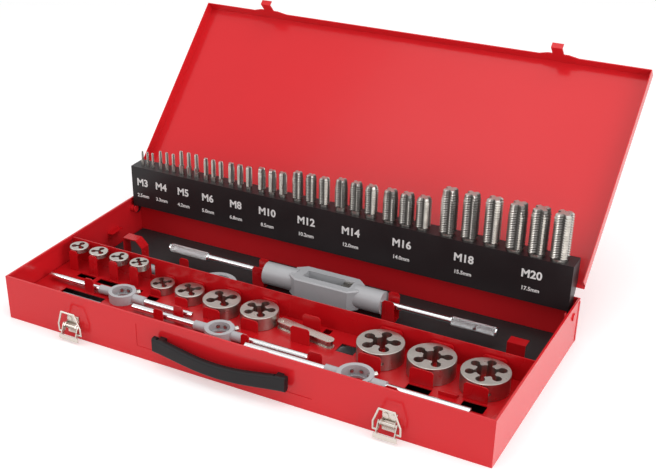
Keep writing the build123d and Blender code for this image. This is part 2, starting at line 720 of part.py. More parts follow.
def gauge_case():
    a, b = gauge_ends()
    r = GAUGE_WIDE / 2
    body = gauge_plate(0) + gauge_plate(GAUGE_H - GAUGE_PLATE)
    body += box(a + 12, b - 12, r - 1, r, 0, GAUGE_H)
    for x in (a, b):
        body += rod(GAUGE_PIN_R, (x, 0, 0), (x, 0, GAUGE_H + 0.6))
    return gauge_place(body)


def gauge_leaves():
    """Toothed leaves round both rivets."""
    leaves = []
    pitch = (GAUGE_H - 2 * GAUGE_PLATE) / LEAVES
    for i in range(LEAVES):
        z = GAUGE_PLATE + (i + 0.5) * pitch - LEAF_T / 2
        for side, x in zip((1, -1), gauge_ends()):
            ends = sorted((x, x + side * 25.0))
            leaf = rod(3.8, (x, 0, z), (x, 0, z + LEAF_T)) + box(ends[0], ends[1], -3.8, 2.6, z, z + LEAF_T)
            leaf -= rod(GAUGE_PIN_R + HOLE_PLAY, (x, 0, z - 1), (x, 0, z + LEAF_T + 1))
            leaves.append(gauge_place(leaf))
    return Compound(children=leaves)


# ================================================================ latches and handle
RIVET_R = 1.5
RIVET_HEAD_R = 2.8
RIVET_PITCH = 7.6


def fixing_points():
    """Rivets through the front wall, as (x, z)."""
    points = []
    for side in (-1, 1):
        x = MIDDLE_X + side * LATCH_PITCH
        points += [(x - RIVET_PITCH / 2, 22.0), (x + RIVET_PITCH / 2, 22.0)]
        x = MIDDLE_X + side * (HANDLE_HALF - 8.0)
        points += [(x, HANDLE_PIN_Z - 7.5)]
    return points


def front_rivets():
    rivets = []
    wall = -CASE_D / 2
    for x, z in fixing_points():
        handle = abs(x - MIDDLE_X) < HANDLE_HALF
        sunk = PANEL_DEPTH if handle else 0.0
        face = wall + sunk - LATCH_T
        piece = rod(RIVET_R, (x, face - 0.4, z), (x, wall + SHEET + sunk + 0.6, z))
        piece += rod(RIVET_HEAD_R, (x, face - 0.8, z), (x, face, z))
        piece += rod(RIVET_HEAD_R, (x, wall + SHEET + sunk, z), (x, wall + SHEET + sunk + RIVET_TAIL, z))
        rivets.append(piece)
    return Compound(children=rivets)


def latch_plates():
    """Riveted plates, each with two ears that carry the lever's pin."""
    plates = []
    wall = -CASE_D / 2
    axis_y = wall - LEVER_Y
    for side in (-1, 1):
        x = MIDDLE_X + side * LATCH_PITCH
        half = LATCH_W / 2
        z0, z1 = LATCH_Z
        piece = box(x - half, x + half, wall - LATCH_T, wall, z0, z1)
        for k in (-1, 1):
            e0, e1 = sorted((x + k * half, x + k * (half - SHEET)))
            ear = [(wall, z0 + 2), (wall, LEVER_Z + 4), (axis_y, LEVER_Z + 3), (axis_y - 2.8, LEVER_Z)]
            ear += [(axis_y, LEVER_Z - 3)]
            piece += prism_x(ear, e0, e1)
        piece -= rod(LEVER_PIN_R + PIVOT_PLAY, (x - half - 1, axis_y, LEVER_Z), (x + half + 1, axis_y, LEVER_Z))
        for px in (x - RIVET_PITCH / 2, x + RIVET_PITCH / 2):
            piece -= rod(RIVET_R + HOLE_PLAY, (px, wall - 3, 22.0), (px, wall + 1, 22.0))
        plates.append(piece)
    return Compound(children=plates)


def lever_angle_point(radius, degrees):
    """A point round the lever's axis; 0 points to the front, 90 up."""
    a = math.radians(degrees)
    return (-CASE_D / 2 - LEVER_Y - radius * math.cos(a), LEVER_Z + radius * math.sin(a))


LEVER_REST = -70.0      # the lever hangs down and a little forward
BAIL_RADIUS = 7.0       # bail pivot on the lever, from the lever's axis
BAIL_LEAN = 86.0        # direction of the bail at rest: up, leaning a little to the front
BAIL_LONG = 23.1


def latch_lever(side):
    """Finger lever: two cheeks outside the ears, pin, flared lip."""
    x = MIDDLE_X + side * LATCH_PITCH
    half = LEVER_W / 2
    pin_half = LATCH_W / 2 + 1.2 + SHEET
    body = rod(LEVER_PIN_R, (x - pin_half, *lever_angle_point(0, 0)), (x + pin_half, *lever_angle_point(0, 0)))
    profile = ((2.6, 150), (2.6, 60), (9.5, 18), (13.0, 8), (13.0, 2), (9.5, -13), (2.6, -60), (2.6, -120))
    outer = [lever_angle_point(r, LEVER_REST + a) for r, a in profile]
    for k in (-1, 1):
        c0, c1 = sorted((x + k * (pin_half - SHEET), x + k * pin_half))
        body += prism_x(outer, c0, c1)
    profile = ((10.2, 16), (12.8, 11), (14.6, 6), (14.6, 1), (12.6, 4), (10.2, 8))
    lip = [lever_angle_point(r, LEVER_REST + a) for r, a in profile]
    body += prism_x(lip, x - half, x + half)
    by, bz = lever_angle_point(BAIL_RADIUS, LEVER_REST)
    body -= rod(WIRE_R + PIVOT_PLAY, (x - half - 1, by, bz), (x + half + 1, by, bz))
    return body


def wire(points, radius):
    """A bent round wire through the points."""
    path = Polyline(*points)
    section = Plane(origin=path @ 0, z_dir=path % 0) * Circle(radius)
    return sweep(section, path=path, transition=Transition.ROUND)


def latch_bail(side):
    """Wire bail: ends in the lever's cheeks, arms bulging outward, crossbar on top."""
    x = MIDDLE_X + side * LATCH_PITCH
    by, bz = lever_angle_point(BAIL_RADIUS, LEVER_REST)
    a = math.radians(BAIL_LEAN)
    dy, dz = -math.cos(a), math.sin(a)

    def at(px, along):
        return (x + px, by + along * dy, bz + along * dz)
    inner = LATCH_W / 2 + 0.9
    wide = LEVER_W / 2 + WIRE_R + 0.7
    top = 7.5
    left = [at(-inner, 0), at(-wide, 0), at(-wide, 8.0), at(-top, BAIL_LONG), at(top, BAIL_LONG)]
    right = [at(wide, 8.0), at(wide, 0), at(inner, 0)]
    return wire(left + right, WIRE_R)


def handle_grip():
    """Soft grip bowed down and forward, round a strap; its ends are bored for the pins."""
    x0, x1 = MIDDLE_X - HANDLE_HALF, MIDDLE_X + HANDLE_HALF
    wall = -CASE_D / 2
    steps = 12
    zc = sum(HANDLE_Z) / 2
    high = HANDLE_Z[1] - HANDLE_Z[0]
    sections = []
    for i in range(steps + 1):
        u = i / steps
        bow = math.sin(math.pi * u) ** 1.3
        x = x0 + (x1 - x0) * u
        y = wall - HANDLE_Y - HANDLE_BOW_Y * bow
        z = zc - HANDLE_BOW_Z * bow
        plane = Plane(origin=(x, y, z), x_dir=(0, 1, 0), z_dir=(1, 0, 0))
        sections.append(plane * RectangleRounded(HANDLE_T, high - 1.5 * bow, 2.4))
    body = loft(sections)
    for side in (-1, 1):
        px = MIDDLE_X + side * (HANDLE_HALF - 8.0)
        half = HANDLE_BRACKET / 2 + 0.5
        z0, z1 = HANDLE_PIN_Z - 4.6, HANDLE_Z[1] + 1
        body -= box(px - half, px + half, wall - HANDLE_Y - 2.6, wall, z0 - 9.0, z1)
    for side in (-1, 1):
        px = MIDDLE_X + side * (HANDLE_HALF - 8.0)
        body += rod(HANDLE_PIN_R, (px - 5, wall - HANDLE_Y, HANDLE_PIN_Z), (px + 5, wall - HANDLE_Y, HANDLE_PIN_Z))
    return body


def handle_brackets():
    """Two riveted plates, each rolled into an eye round the grip's pin."""
    plates = []
    wall = -CASE_D / 2 + PANEL_DEPTH
    axis = -CASE_D / 2 - HANDLE_Y
    for side in (-1, 1):
        px = MIDDLE_X + side * (HANDLE_HALF - 8.0)
        half = HANDLE_BRACKET / 2
        piece = box(px - half, px + half, wall - LATCH_T, wall, HANDLE_PIN_Z - 11.5, HANDLE_PIN_Z + 2.4)
        piece += box(px - half, px + half, axis, wall, HANDLE_PIN_Z - 1.0, HANDLE_PIN_Z + 2.4)
        piece += rod(HANDLE_PIN_R + 0.8, (px - half, axis, HANDLE_PIN_Z), (px + half, axis, HANDLE_PIN_Z))
        pin = HANDLE_PIN_R + PIVOT_PLAY
        piece -= rod(pin, (px - half - 1, axis, HANDLE_PIN_Z), (px + half + 1, axis, HANDLE_PIN_Z))
        piece -= rod(RIVET_R + HOLE_PLAY, (px, wall - 3, HANDLE_PIN_Z - 7.5), (px, wall + 1, HANDLE_PIN_Z - 7.5))
        plates.append(piece)
    return Compound(children=plates)


def all_parts():
    parts = {
        "base_case": base_case(),
        "lid": lid(),
        "hinge_pin": hinge_pin(),
        "tap_rack": tap_rack(),
        "rack_shelf": rack_shelf(),
        "rack_rivets": rack_rivets(),
        "tray_deck": tray_deck(),
        "tray_partition": tray_partition(),
        "tray_skirt": tray_skirt(),
        "tray_tabs": tray_tabs(),
        "die_posts": die_posts(),
        "floor_mats": floor_mats(),
        "wrench_saddles": wrench_saddles(),
        "rear_brackets": rear_brackets(),
        "holder_screws": holder_screws(),
        "wrench_body": wrench_body(),
        "wrench_fixed_handle": wrench_fixed_handle(),
        "wrench_turning_handle": wrench_turning_handle(),
        "wrench_jaw": wrench_jaw(),
        "gauge_case": gauge_case(),
        "gauge_leaves": gauge_leaves(),
        "latch_plates": latch_plates(),
        "front_rivets": front_rivets(),
        "latch_lever_left": latch_lever(-1),
        "latch_lever_right": latch_lever(1),
        "latch_bail_left": latch_bail(-1),
        "latch_bail_right": latch_bail(1),
        "handle_grip": handle_grip(),
        "handle_brackets": handle_brackets(),
    }
    for name in TAPS:
        parts["taps_" + name] = taps(name)
    for name in DIES:
        parts["die_" + name] = die(name)
    for key in ("1", "2", "3"):
        parts["holder_" + key + "_ring"] = holder_ring(key)
        parts["holder_" + key + "_rods"] = Compound(children=holder_rods(key))
    for key in ("4", "5", "6"):
        parts["holder_" + key] = holder_whole(key)
    return parts


def main():
    os.makedirs("parts", exist_ok=True)
    for name, shape in all_parts().items():
        export_step(shape, f"parts/{name}.step")
        print(name, len(shape.solids()))


main()
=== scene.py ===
"""Finish for the tap and die case: paints, metals, threaded taps, printed sizes, studio."""
import math

import bmesh
import bpy
from bpy.props import FloatProperty, FloatVectorProperty, PointerProperty
from mathutils import Matrix, Vector


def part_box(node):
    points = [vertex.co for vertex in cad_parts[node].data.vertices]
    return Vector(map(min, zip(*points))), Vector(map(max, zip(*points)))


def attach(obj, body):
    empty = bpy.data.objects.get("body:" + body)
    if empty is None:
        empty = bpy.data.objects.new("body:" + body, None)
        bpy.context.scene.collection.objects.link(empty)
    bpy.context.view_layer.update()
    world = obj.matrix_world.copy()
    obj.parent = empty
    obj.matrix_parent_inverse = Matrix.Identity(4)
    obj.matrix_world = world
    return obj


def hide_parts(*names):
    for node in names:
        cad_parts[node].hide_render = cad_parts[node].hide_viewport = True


bl_info = {
    "name": "Tap and die case",
    "version": (1, 0, 0),
    "blender": (4, 5, 0),
    "location": "View3D > Sidebar > Tap Case",
    "description": "Dresses the tap and die case: finishes, threaded taps, printed sizes, studio",
    "category": "Object",
}

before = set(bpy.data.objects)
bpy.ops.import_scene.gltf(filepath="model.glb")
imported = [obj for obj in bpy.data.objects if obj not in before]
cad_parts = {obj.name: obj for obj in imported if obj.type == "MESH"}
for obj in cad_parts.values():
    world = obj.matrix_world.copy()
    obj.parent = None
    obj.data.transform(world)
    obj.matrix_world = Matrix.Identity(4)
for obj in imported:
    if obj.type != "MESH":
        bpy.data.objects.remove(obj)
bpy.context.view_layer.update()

SIZES = ("m3", "m4", "m5", "m6", "m8", "m10", "m12", "m14", "m16", "m18", "m20")
# millimetres: thread, thread length, shank, square, flutes, pitch
TAP_TABLE = {
    "m3": (3.0, 11.0, 3.5, 2.7, 3, 0.5),
    "m4": (4.0, 13.0, 4.5, 3.4, 3, 0.7),
    "m5": (5.0, 16.0, 6.0, 4.9, 3, 0.8),
    "m6": (6.0, 19.0, 6.0, 4.9, 3, 1.0),
    "m8": (8.0, 22.0, 6.0, 4.9, 3, 1.25),
    "m10": (10.0, 24.0, 7.0, 5.5, 3, 1.5),
    "m12": (12.0, 29.0, 9.0, 7.0, 4, 1.75),
    "m14": (14.0, 30.0, 11.0, 9.0, 4, 2.0),
    "m16": (16.0, 32.0, 12.0, 9.0, 4, 2.0),
    "m18": (18.0, 46.0, 14.0, 11.0, 4, 2.5),
    "m20": (20.0, 46.0, 16.0, 12.0, 4, 2.5),
}
DRILLS = ("2.5", "3.3", "4.2", "5.0", "6.8", "8.5", "10.2", "12.0", "14.0", "15.5", "17.5")
MM = 0.001

# millimetres along the rack: middle of each printed size
LABEL_X = (-238.3, -213.3, -184.1, -152.2, -116.6, -77.6, -30.7, 21.1, 78.1, 144.3, 213.3)
# metres up: middle of the row of thread sizes, middle of the row of drills
SIZE_ROW_Z = 0.0708
DRILL_ROW_Z = 0.0550
# extra weight of the printed strokes, share of the type size
STROKE_WEIGHT = 0.028

# turns of thread in the lead of the first, second and third tap of a size
LEADS = (5.0, 3.0, 1.5)
# how far a lead tapers, share of the thread's depth
LEAD_TAPER = 1.25
# degrees: half the width of one flute, by number of flutes
FLUTE_HALF = {3: 36.0, 4: 29.0}
FACETS_PER_FLUTE = 12
# share of a flute's width painted dark, as shade in the hollow
FLUTE_SHADE_SHARE = 0.8
# shares of the thread's diameter: end of the neck, crest of the thread
NECK = 0.94
CREST = 0.995
# the tip's end, share of the last turn
TIP = 0.86
# millimetres: how much longer than wide the square is, and the bevel of its edges
SQUARE_EXTRA = 2.5
SQUARE_BEVEL = 0.35
# millimetres: rise of the neck, run-out of the thread, ring at the tip left bright, outside the
# painted flute shade
NECK_RISE = 0.2
THREAD_RUNOUT = 0.4
TIP_RING = 0.1

# ridges of a knurl round its bar
KNURL_RIDGES = 24.0
# millimetres from a rod's outer end: start of the knurl, its end on the left and right rod
KNURL_START = 1.5
KNURL_END_LEFT = 48.0
KNURL_END_RIGHT = 46.0

# the floor's own light, seen by the camera and in reflections only
FLOOR_GLOW = 0.24
# metres: place, aim and size of each softbox, and the setting that holds its power
SOFTBOXES = (
    ("Overhead softbox", (0.3, -0.2, 1.9), (0, 0, 0), (2.4, 1.8), "key_power"),
    ("Left softbox", (-1.6, -1.2, 1.0), (0, 0, 0.05), (1.2, 1.2), "side_power"),
    ("Right softbox", (1.7, -0.5, 0.5), (0.2, 0, 0.03), (1.2, 0.9), "glare_power"),
)
# camera: yaw, pitch and roll in degrees, place in metres, shift in sensor widths
CAMERA_ANGLES = (29.664, 29.276, -0.459)
CAMERA_PLACE = (0.4865, -0.8794, 0.6035)
CAMERA_SHIFT = (0.0817, 0.0875)


def colour(name, text, value):
    """A colour setting for the panel."""
    return FloatVectorProperty(name=name, description=text, subtype="COLOR", size=4,
                               default=(*value, 1.0))


class TapCaseFinish(bpy.types.PropertyGroup):
    """Colours of the paints and metals"""
    case_red: colour("Case red", "Gloss enamel of base and lid", (0.66, 0.014, 0.020))
    tray_red: colour("Tray red", "Enamel of the tool tray and brackets", (0.54, 0.006, 0.010))
    rack_black: colour("Rack black", "Satin paint of the tap rack", (0.012, 0.009, 0.010))
    mat_black: colour("Mat black", "Rubber mat on the floor", (0.016, 0.015, 0.016))
    holder_grey: colour("Holder grey", "Paint of the die holders and the wrench body",
                        (0.44, 0.44, 0.455))
    chrome: colour("Chrome", "Plated handle rods", (0.80, 0.80, 0.81))
    flute_shade: colour("Flute", "Painted shade in the flutes of the taps", (0.15, 0.14, 0.13))
    # painted shade: colour of the tap flutes, darker than the ground steel
    tool_steel: colour("Tool steel", "Ground steel of dies and taps", (0.56, 0.53, 0.49))
    nickel: colour("Nickel", "Plating of the latches", (0.66, 0.62, 0.56))
    grip_black: colour("Grip black", "Soft moulded carry grip", (0.007, 0.006, 0.007))
    print_white: colour("Print white", "Printed sizes on the rack", (0.80, 0.79, 0.78))


class TapCaseSizes(bpy.types.PropertyGroup):
    """Sizes of the pieces made here"""
    thread_depth: FloatProperty(
        name="Thread depth", description="Depth of a thread as a share of its pitch",
        default=0.61, min=0.1, max=1.0)
    flute_depth: FloatProperty(
        name="Flute depth", description="Depth of a flute, share of the radius",
        default=0.5, min=0.1, max=0.7)
    size_height: FloatProperty(
        name="Size height", description="Type size of the thread sizes",
        default=0.0118, unit="LENGTH")
    drill_height: FloatProperty(
        name="Drill height", description="Type size of the drill diameters",
        default=0.0057, unit="LENGTH")
    print_thickness: FloatProperty(
        name="Print thickness", description="Thickness of the print",
        default=0.00006, unit="LENGTH")


class TapCaseStudio(bpy.types.PropertyGroup):
    """Floor, lamps and camera"""
    floor_colour: colour("Floor", "Pale floor", (0.90, 0.90, 0.90))
    world_level: FloatProperty(
        name="World level", description="Strength of the even light", default=0.62, min=0.0)
    key_power: FloatProperty(
        name="Key power", description="Power of the overhead lamp", default=16.0, min=0.0)
    side_power: FloatProperty(
        name="Side power", description="Power of the lamp at the left", default=9.0, min=0.0)
    glare_power: FloatProperty(
        name="Glare power", description="Power of the right lamp", default=14.0, min=0.0)
    lens: FloatProperty(
        name="Lens", description="Focal length in millimetres", default=64.27, min=1.0)


# ------------------------------------------------------------ shader groups
def add_socket(tree, name, kind, way, value=None):
    """A group's input or output, with its default."""
    sock = tree.interface.new_socket(name=name, in_out=way, socket_type=kind)
    if value is not None:
        sock.default_value = value
    return sock


def node(tree, kind, **values):
    """A new shader node with some of its settings."""
    n = tree.nodes.new(kind)
    for key, value in values.items():
        setattr(n, key, value)
    return n


def maths(tree, operation, a, b=None):
    """Output of a math node; a and b are numbers or sockets."""
    n = node(tree, "ShaderNodeMath", operation=operation)
    for i, v in enumerate((a, b)):
        if v is None:
            continue
        if isinstance(v, (int, float)):
            n.inputs[i].default_value = v
        else:
            tree.links.new(v, n.inputs[i])
    return n.outputs[0]


def lively_surface():
    """Group: a colour that drifts to a second one, uneven gloss and a fine texture height."""
    name = "Lively surface"
    if name in bpy.data.node_groups:
        return bpy.data.node_groups[name]
    t = bpy.data.node_groups.new(name, "ShaderNodeTree")
    add_socket(t, "Colour", "NodeSocketColor", "INPUT", (0.5, 0.5, 0.5, 1))
    add_socket(t, "Drift Colour", "NodeSocketColor", "INPUT", (0.4, 0.4, 0.4, 1))
    add_socket(t, "Drift", "NodeSocketFloat", "INPUT", 0.5)
    add_socket(t, "Patch Scale", "NodeSocketFloat", "INPUT", 14.0)
    add_socket(t, "Grain Scale", "NodeSocketFloat", "INPUT", 900.0)
    add_socket(t, "Gloss Low", "NodeSocketFloat", "INPUT", 0.2)
    add_socket(t, "Gloss High", "NodeSocketFloat", "INPUT", 0.3)
    add_socket(t, "Colour", "NodeSocketColor", "OUTPUT")
    add_socket(t, "Roughness", "NodeSocketFloat", "OUTPUT")
    add_socket(t, "Height", "NodeSocketFloat", "OUTPUT")
    gi, go = node(t, "NodeGroupInput"), node(t, "NodeGroupOutput")
    at = node(t, "ShaderNodeTexCoord").outputs["Object"]
    patch = node(t, "ShaderNodeTexNoise")
    patch.inputs["Detail"].default_value = 4.0
    grain = node(t, "ShaderNodeTexNoise")
    grain.inputs["Detail"].default_value = 2.0
    for n, key in ((patch, "Patch Scale"), (grain, "Grain Scale")):
        t.links.new(at, n.inputs["Vector"])
        t.links.new(gi.outputs[key], n.inputs["Scale"])
    mix = node(t, "ShaderNodeMix", data_type="RGBA")
    t.links.new(maths(t, "MULTIPLY", patch.outputs["Fac"], gi.outputs["Drift"]),
                mix.inputs["Factor"])
    t.links.new(gi.outputs["Colour"], mix.inputs["A"])
    t.links.new(gi.outputs["Drift Colour"], mix.inputs["B"])
    t.links.new(mix.outputs["Result"], go.inputs["Colour"])
    gloss = node(t, "ShaderNodeMapRange")
    t.links.new(patch.outputs["Fac"], gloss.inputs["Value"])
    gloss.inputs["From Min"].default_value = 0.3
    gloss.inputs["From Max"].default_value = 0.7
    t.links.new(gi.outputs["Gloss Low"], gloss.inputs["To Min"])
    t.links.new(gi.outputs["Gloss High"], gloss.inputs["To Max"])
    t.links.new(gloss.outputs["Result"], go.inputs["Roughness"])
    t.links.new(grain.outputs["Fac"], go.inputs["Height"])
    return t


def knurl_marks():
    """Group: height of a knurl round a left-to-right bar, between two stations."""
    name = "Turned bar"
    if name in bpy.data.node_groups:
        return bpy.data.node_groups[name]
    t = bpy.data.node_groups.new(name, "ShaderNodeTree")
    for key in ("Axis Y", "Axis Z", "From X", "To X"):
        add_socket(t, key, "NodeSocketFloat", "INPUT", 0.0)
    add_socket(t, "Pitch", "NodeSocketFloat", "INPUT", 0.0012)
    add_socket(t, "Height", "NodeSocketFloat", "OUTPUT")
    gi, go = node(t, "NodeGroupInput"), node(t, "NodeGroupOutput")
    sep = node(t, "ShaderNodeSeparateXYZ")
    t.links.new(node(t, "ShaderNodeTexCoord").outputs["Object"], sep.inputs[0])
    y = maths(t, "SUBTRACT", sep.outputs["Y"], gi.outputs["Axis Y"])
    z = maths(t, "SUBTRACT", sep.outputs["Z"], gi.outputs["Axis Z"])
    turn = maths(t, "MULTIPLY", maths(t, "ARCTAN2", z, y), KNURL_RIDGES)
    along = maths(t, "DIVIDE", sep.outputs["X"], gi.outputs["Pitch"])
    along = maths(t, "MULTIPLY", along, 2 * math.pi)
    one = maths(t, "SINE", maths(t, "ADD", along, turn))
    two = maths(t, "SINE", maths(t, "SUBTRACT", along, turn))
    knurl = maths(t, "MULTIPLY", maths(t, "ADD", one, two), 0.5)
    inside = maths(t, "MULTIPLY", maths(t, "GREATER_THAN", sep.outputs["X"], gi.outputs["From X"]),
                   maths(t, "LESS_THAN", sep.outputs["X"], gi.outputs["To X"]))
    t.links.new(maths(t, "MULTIPLY", knurl, inside), go.inputs["Height"])
    return t


def finish_of(name, base, drift, gloss, metallic=0.0, coat=0.0, patch=14.0, grain=900.0,
              bump=0.00002, drift_amount=0.6, specular=0.5):
    """One material: drifting colour and gloss, fine grain, set on its own shader."""
    mat = bpy.data.materials.new(name)
    mat.use_nodes = True
    t = mat.node_tree
    shader = t.nodes["Principled BSDF"]
    shader.inputs["Metallic"].default_value = metallic
    shader.inputs["Coat Weight"].default_value = coat
    shader.inputs["Coat Roughness"].default_value = 0.06
    shader.inputs["Specular IOR Level"].default_value = specular
    g = node(t, "ShaderNodeGroup", node_tree=lively_surface())
    g.inputs["Colour"].default_value = base
    g.inputs["Drift Colour"].default_value = drift
    g.inputs["Drift"].default_value = drift_amount
    g.inputs["Patch Scale"].default_value = patch
    g.inputs["Grain Scale"].default_value = grain
    g.inputs["Gloss Low"].default_value = gloss[0]
    g.inputs["Gloss High"].default_value = gloss[1]
    t.links.new(g.outputs["Colour"], shader.inputs["Base Color"])
    t.links.new(g.outputs["Roughness"], shader.inputs["Roughness"])
    b = node(t, "ShaderNodeBump")
    b.inputs["Strength"].default_value = 1.0
    b.inputs["Distance"].default_value = bump
    t.links.new(g.outputs["Height"], b.inputs["Height"])
    t.links.new(b.outputs["Normal"], shader.inputs["Normal"])
    return mat


def knurled(mat, y, z, x0, x1, pitch=1.3 * MM, depth=0.00035):
    """Adds a knurl round a bar to a material."""
    t = mat.node_tree
    shader = t.nodes["Principled BSDF"]
    fine = shader.inputs["Normal"].links[0].from_node
    g = node(t, "ShaderNodeGroup", node_tree=knurl_marks())
    values = (("Axis Y", y), ("Axis Z", z), ("From X", x0), ("To X", x1), ("Pitch", pitch))
    for key, value in values:
        g.inputs[key].default_value = value
    b = node(t, "ShaderNodeBump")
    b.inputs["Distance"].default_value = depth
    t.links.new(g.outputs["Height"], b.inputs["Height"])
    t.links.new(fine.outputs["Normal"], b.inputs["Normal"])
    t.links.new(b.outputs["Normal"], shader.inputs["Normal"])
    return mat


def shade(c, k):
    """The colour c, k times as bright."""
    return (c[0] * k, c[1] * k, c[2] * k, 1.0)


def coat_node(name, mat):
    """Gives a node of the frame one material."""
    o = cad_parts[name]
    o.data.materials.clear()
    o.data.materials.append(mat)


# ------------------------------------------------------------ mesh helpers
def piece(name, bm, mat, body, angle=35.0):
    """A finished object from a bmesh, riding on a body."""
    bmesh.ops.recalc_face_normals(bm, faces=bm.faces)
    mesh = bpy.data.meshes.new(name)
    bm.to_mesh(mesh)
    bm.free()
    mesh.shade_smooth()
    mesh.set_sharp_from_angle(angle=math.radians(angle))
    for item in (mat if isinstance(mat, tuple) else (mat,)):
        mesh.materials.append(item)
    o = bpy.data.objects.new(name, mesh)
    bpy.context.collection.objects.link(o)
    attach(o, body)
    return o


def around(x, y, z):
    """Space in which a bmesh operator scales about a point."""
    return Matrix.Translation((-x, -y, -z))


def grow_face(bm, face, up, scale, centre):
    """Extrudes a flat cap upward and scales it about the tap's axis; returns the new cap."""
    made = bmesh.ops.extrude_face_region(bm, geom=[face])
    cap = [g for g in made["geom"] if isinstance(g, bmesh.types.BMFace)][0]
    verts = list(cap.verts)
    bmesh.ops.translate(bm, vec=(0, 0, up), verts=verts)
    bmesh.ops.scale(bm, vec=(scale, scale, 1), space=around(*centre), verts=verts)
    return cap


def tap_mesh(bm, x, y, low, top, row, sizes, lead):
    """One hand tap: square, shank, neck, fluted thread with a tapered lead; the flutes carry
    painted shade.
    """
    d, thread, shank, square, flutes, pitch = row
    d, thread, shank, square, pitch = (v * MM for v in (d, thread, shank, square, pitch))
    square_long = square + SQUARE_EXTRA * MM
    made = bmesh.ops.create_cube(bm, size=1.0)
    bmesh.ops.scale(bm, vec=(square, square, square_long), verts=made["verts"])
    bmesh.ops.translate(bm, vec=(x, y, low + square_long / 2), verts=made["verts"])
    edges = list({e for v in made["verts"] for e in v.link_edges})
    bmesh.ops.bevel(bm, geom=edges, offset=SQUARE_BEVEL * MM, segments=1, affect="EDGES",
                    profile=0.5, material=-1)
    count = flutes * FACETS_PER_FLUTE
    start = top - thread
    depth = start - low - square_long
    middle = Matrix.Translation((x, y, low + square_long + depth / 2))
    made = bmesh.ops.create_cone(bm, cap_ends=True, segments=count, radius1=shank / 2,
                                 radius2=shank / 2, depth=depth, matrix=middle)
    caps = [f for f in {f for v in made["verts"] for f in v.link_faces} if len(f.verts) == count]
    cap = max(caps, key=lambda f: f.calc_center_median().z)
    centre = (x, y, start)
    cap = grow_face(bm, cap, NECK_RISE * MM, (d * NECK) / shank, centre)
    half = math.radians(FLUTE_HALF[flutes])
    step = 2 * math.pi / flutes

    def off_flute(p):
        """Angle from a point to the middle of the nearest flute."""
        return abs((math.atan2(p.y - y, p.x - x) - math.pi / 2 + step / 2) % step - step / 2)

    for v in cap.verts:
        off = off_flute(v.co)
        if off < half:
            k = 1.0 - sizes.flute_depth * math.cos(off / half * math.pi / 2)
            v.co.x = x + (v.co.x - x) * k
            v.co.y = y + (v.co.y - y) * k
    root = 1.0 - sizes.thread_depth * pitch / (d / 2)
    turns = int((thread - THREAD_RUNOUT * MM) / pitch)
    used = NECK
    for i in range(turns * 2):
        left = (turns * 2 - i) / 2
        limit = 1.0 if left > lead else 1.0 - (1.0 - root) * (1.0 - left / lead) * LEAD_TAPER
        wanted = min(limit, CREST) if i % 2 == 0 else min(root, limit)
        cap = grow_face(bm, cap, pitch / 2, wanted / used, centre)
        used = wanted
    rest = top - cap.calc_center_median().z
    grow_face(bm, cap, rest, TIP, centre)
    # painted shade: faces in the middle of each flute along the thread take the dark second
    # material
    for f in bm.faces:
        p = f.calc_center_median()
        threaded = start < p.z < top - TIP_RING * MM and abs(p.x - x) < d
        if threaded and off_flute(p) < half * FLUTE_SHADE_SHARE:
            f.material_index = 1


def printed(words, size, x, z, y, thickness):
    """Flat print facing the front, centred on x and z, as a mesh."""
    curve = bpy.data.curves.new("print_" + words, "FONT")
    curve.body = words
    curve.size = size
    curve.align_x = "CENTER"
    curve.align_y = "CENTER"
    curve.extrude = thickness / 2
    curve.offset = size * STROKE_WEIGHT
    curve.resolution_u = 3
    temp = bpy.data.objects.new("print_" + words, curve)
    bpy.context.collection.objects.link(temp)
    graph = bpy.context.evaluated_depsgraph_get()
    mesh = bpy.data.meshes.new_from_object(temp.evaluated_get(graph))
    mesh.transform(Matrix.Translation((x, y, z)) @ Matrix.Rotation(math.pi / 2, 4, "X"))
    bpy.data.objects.remove(temp)
    return mesh


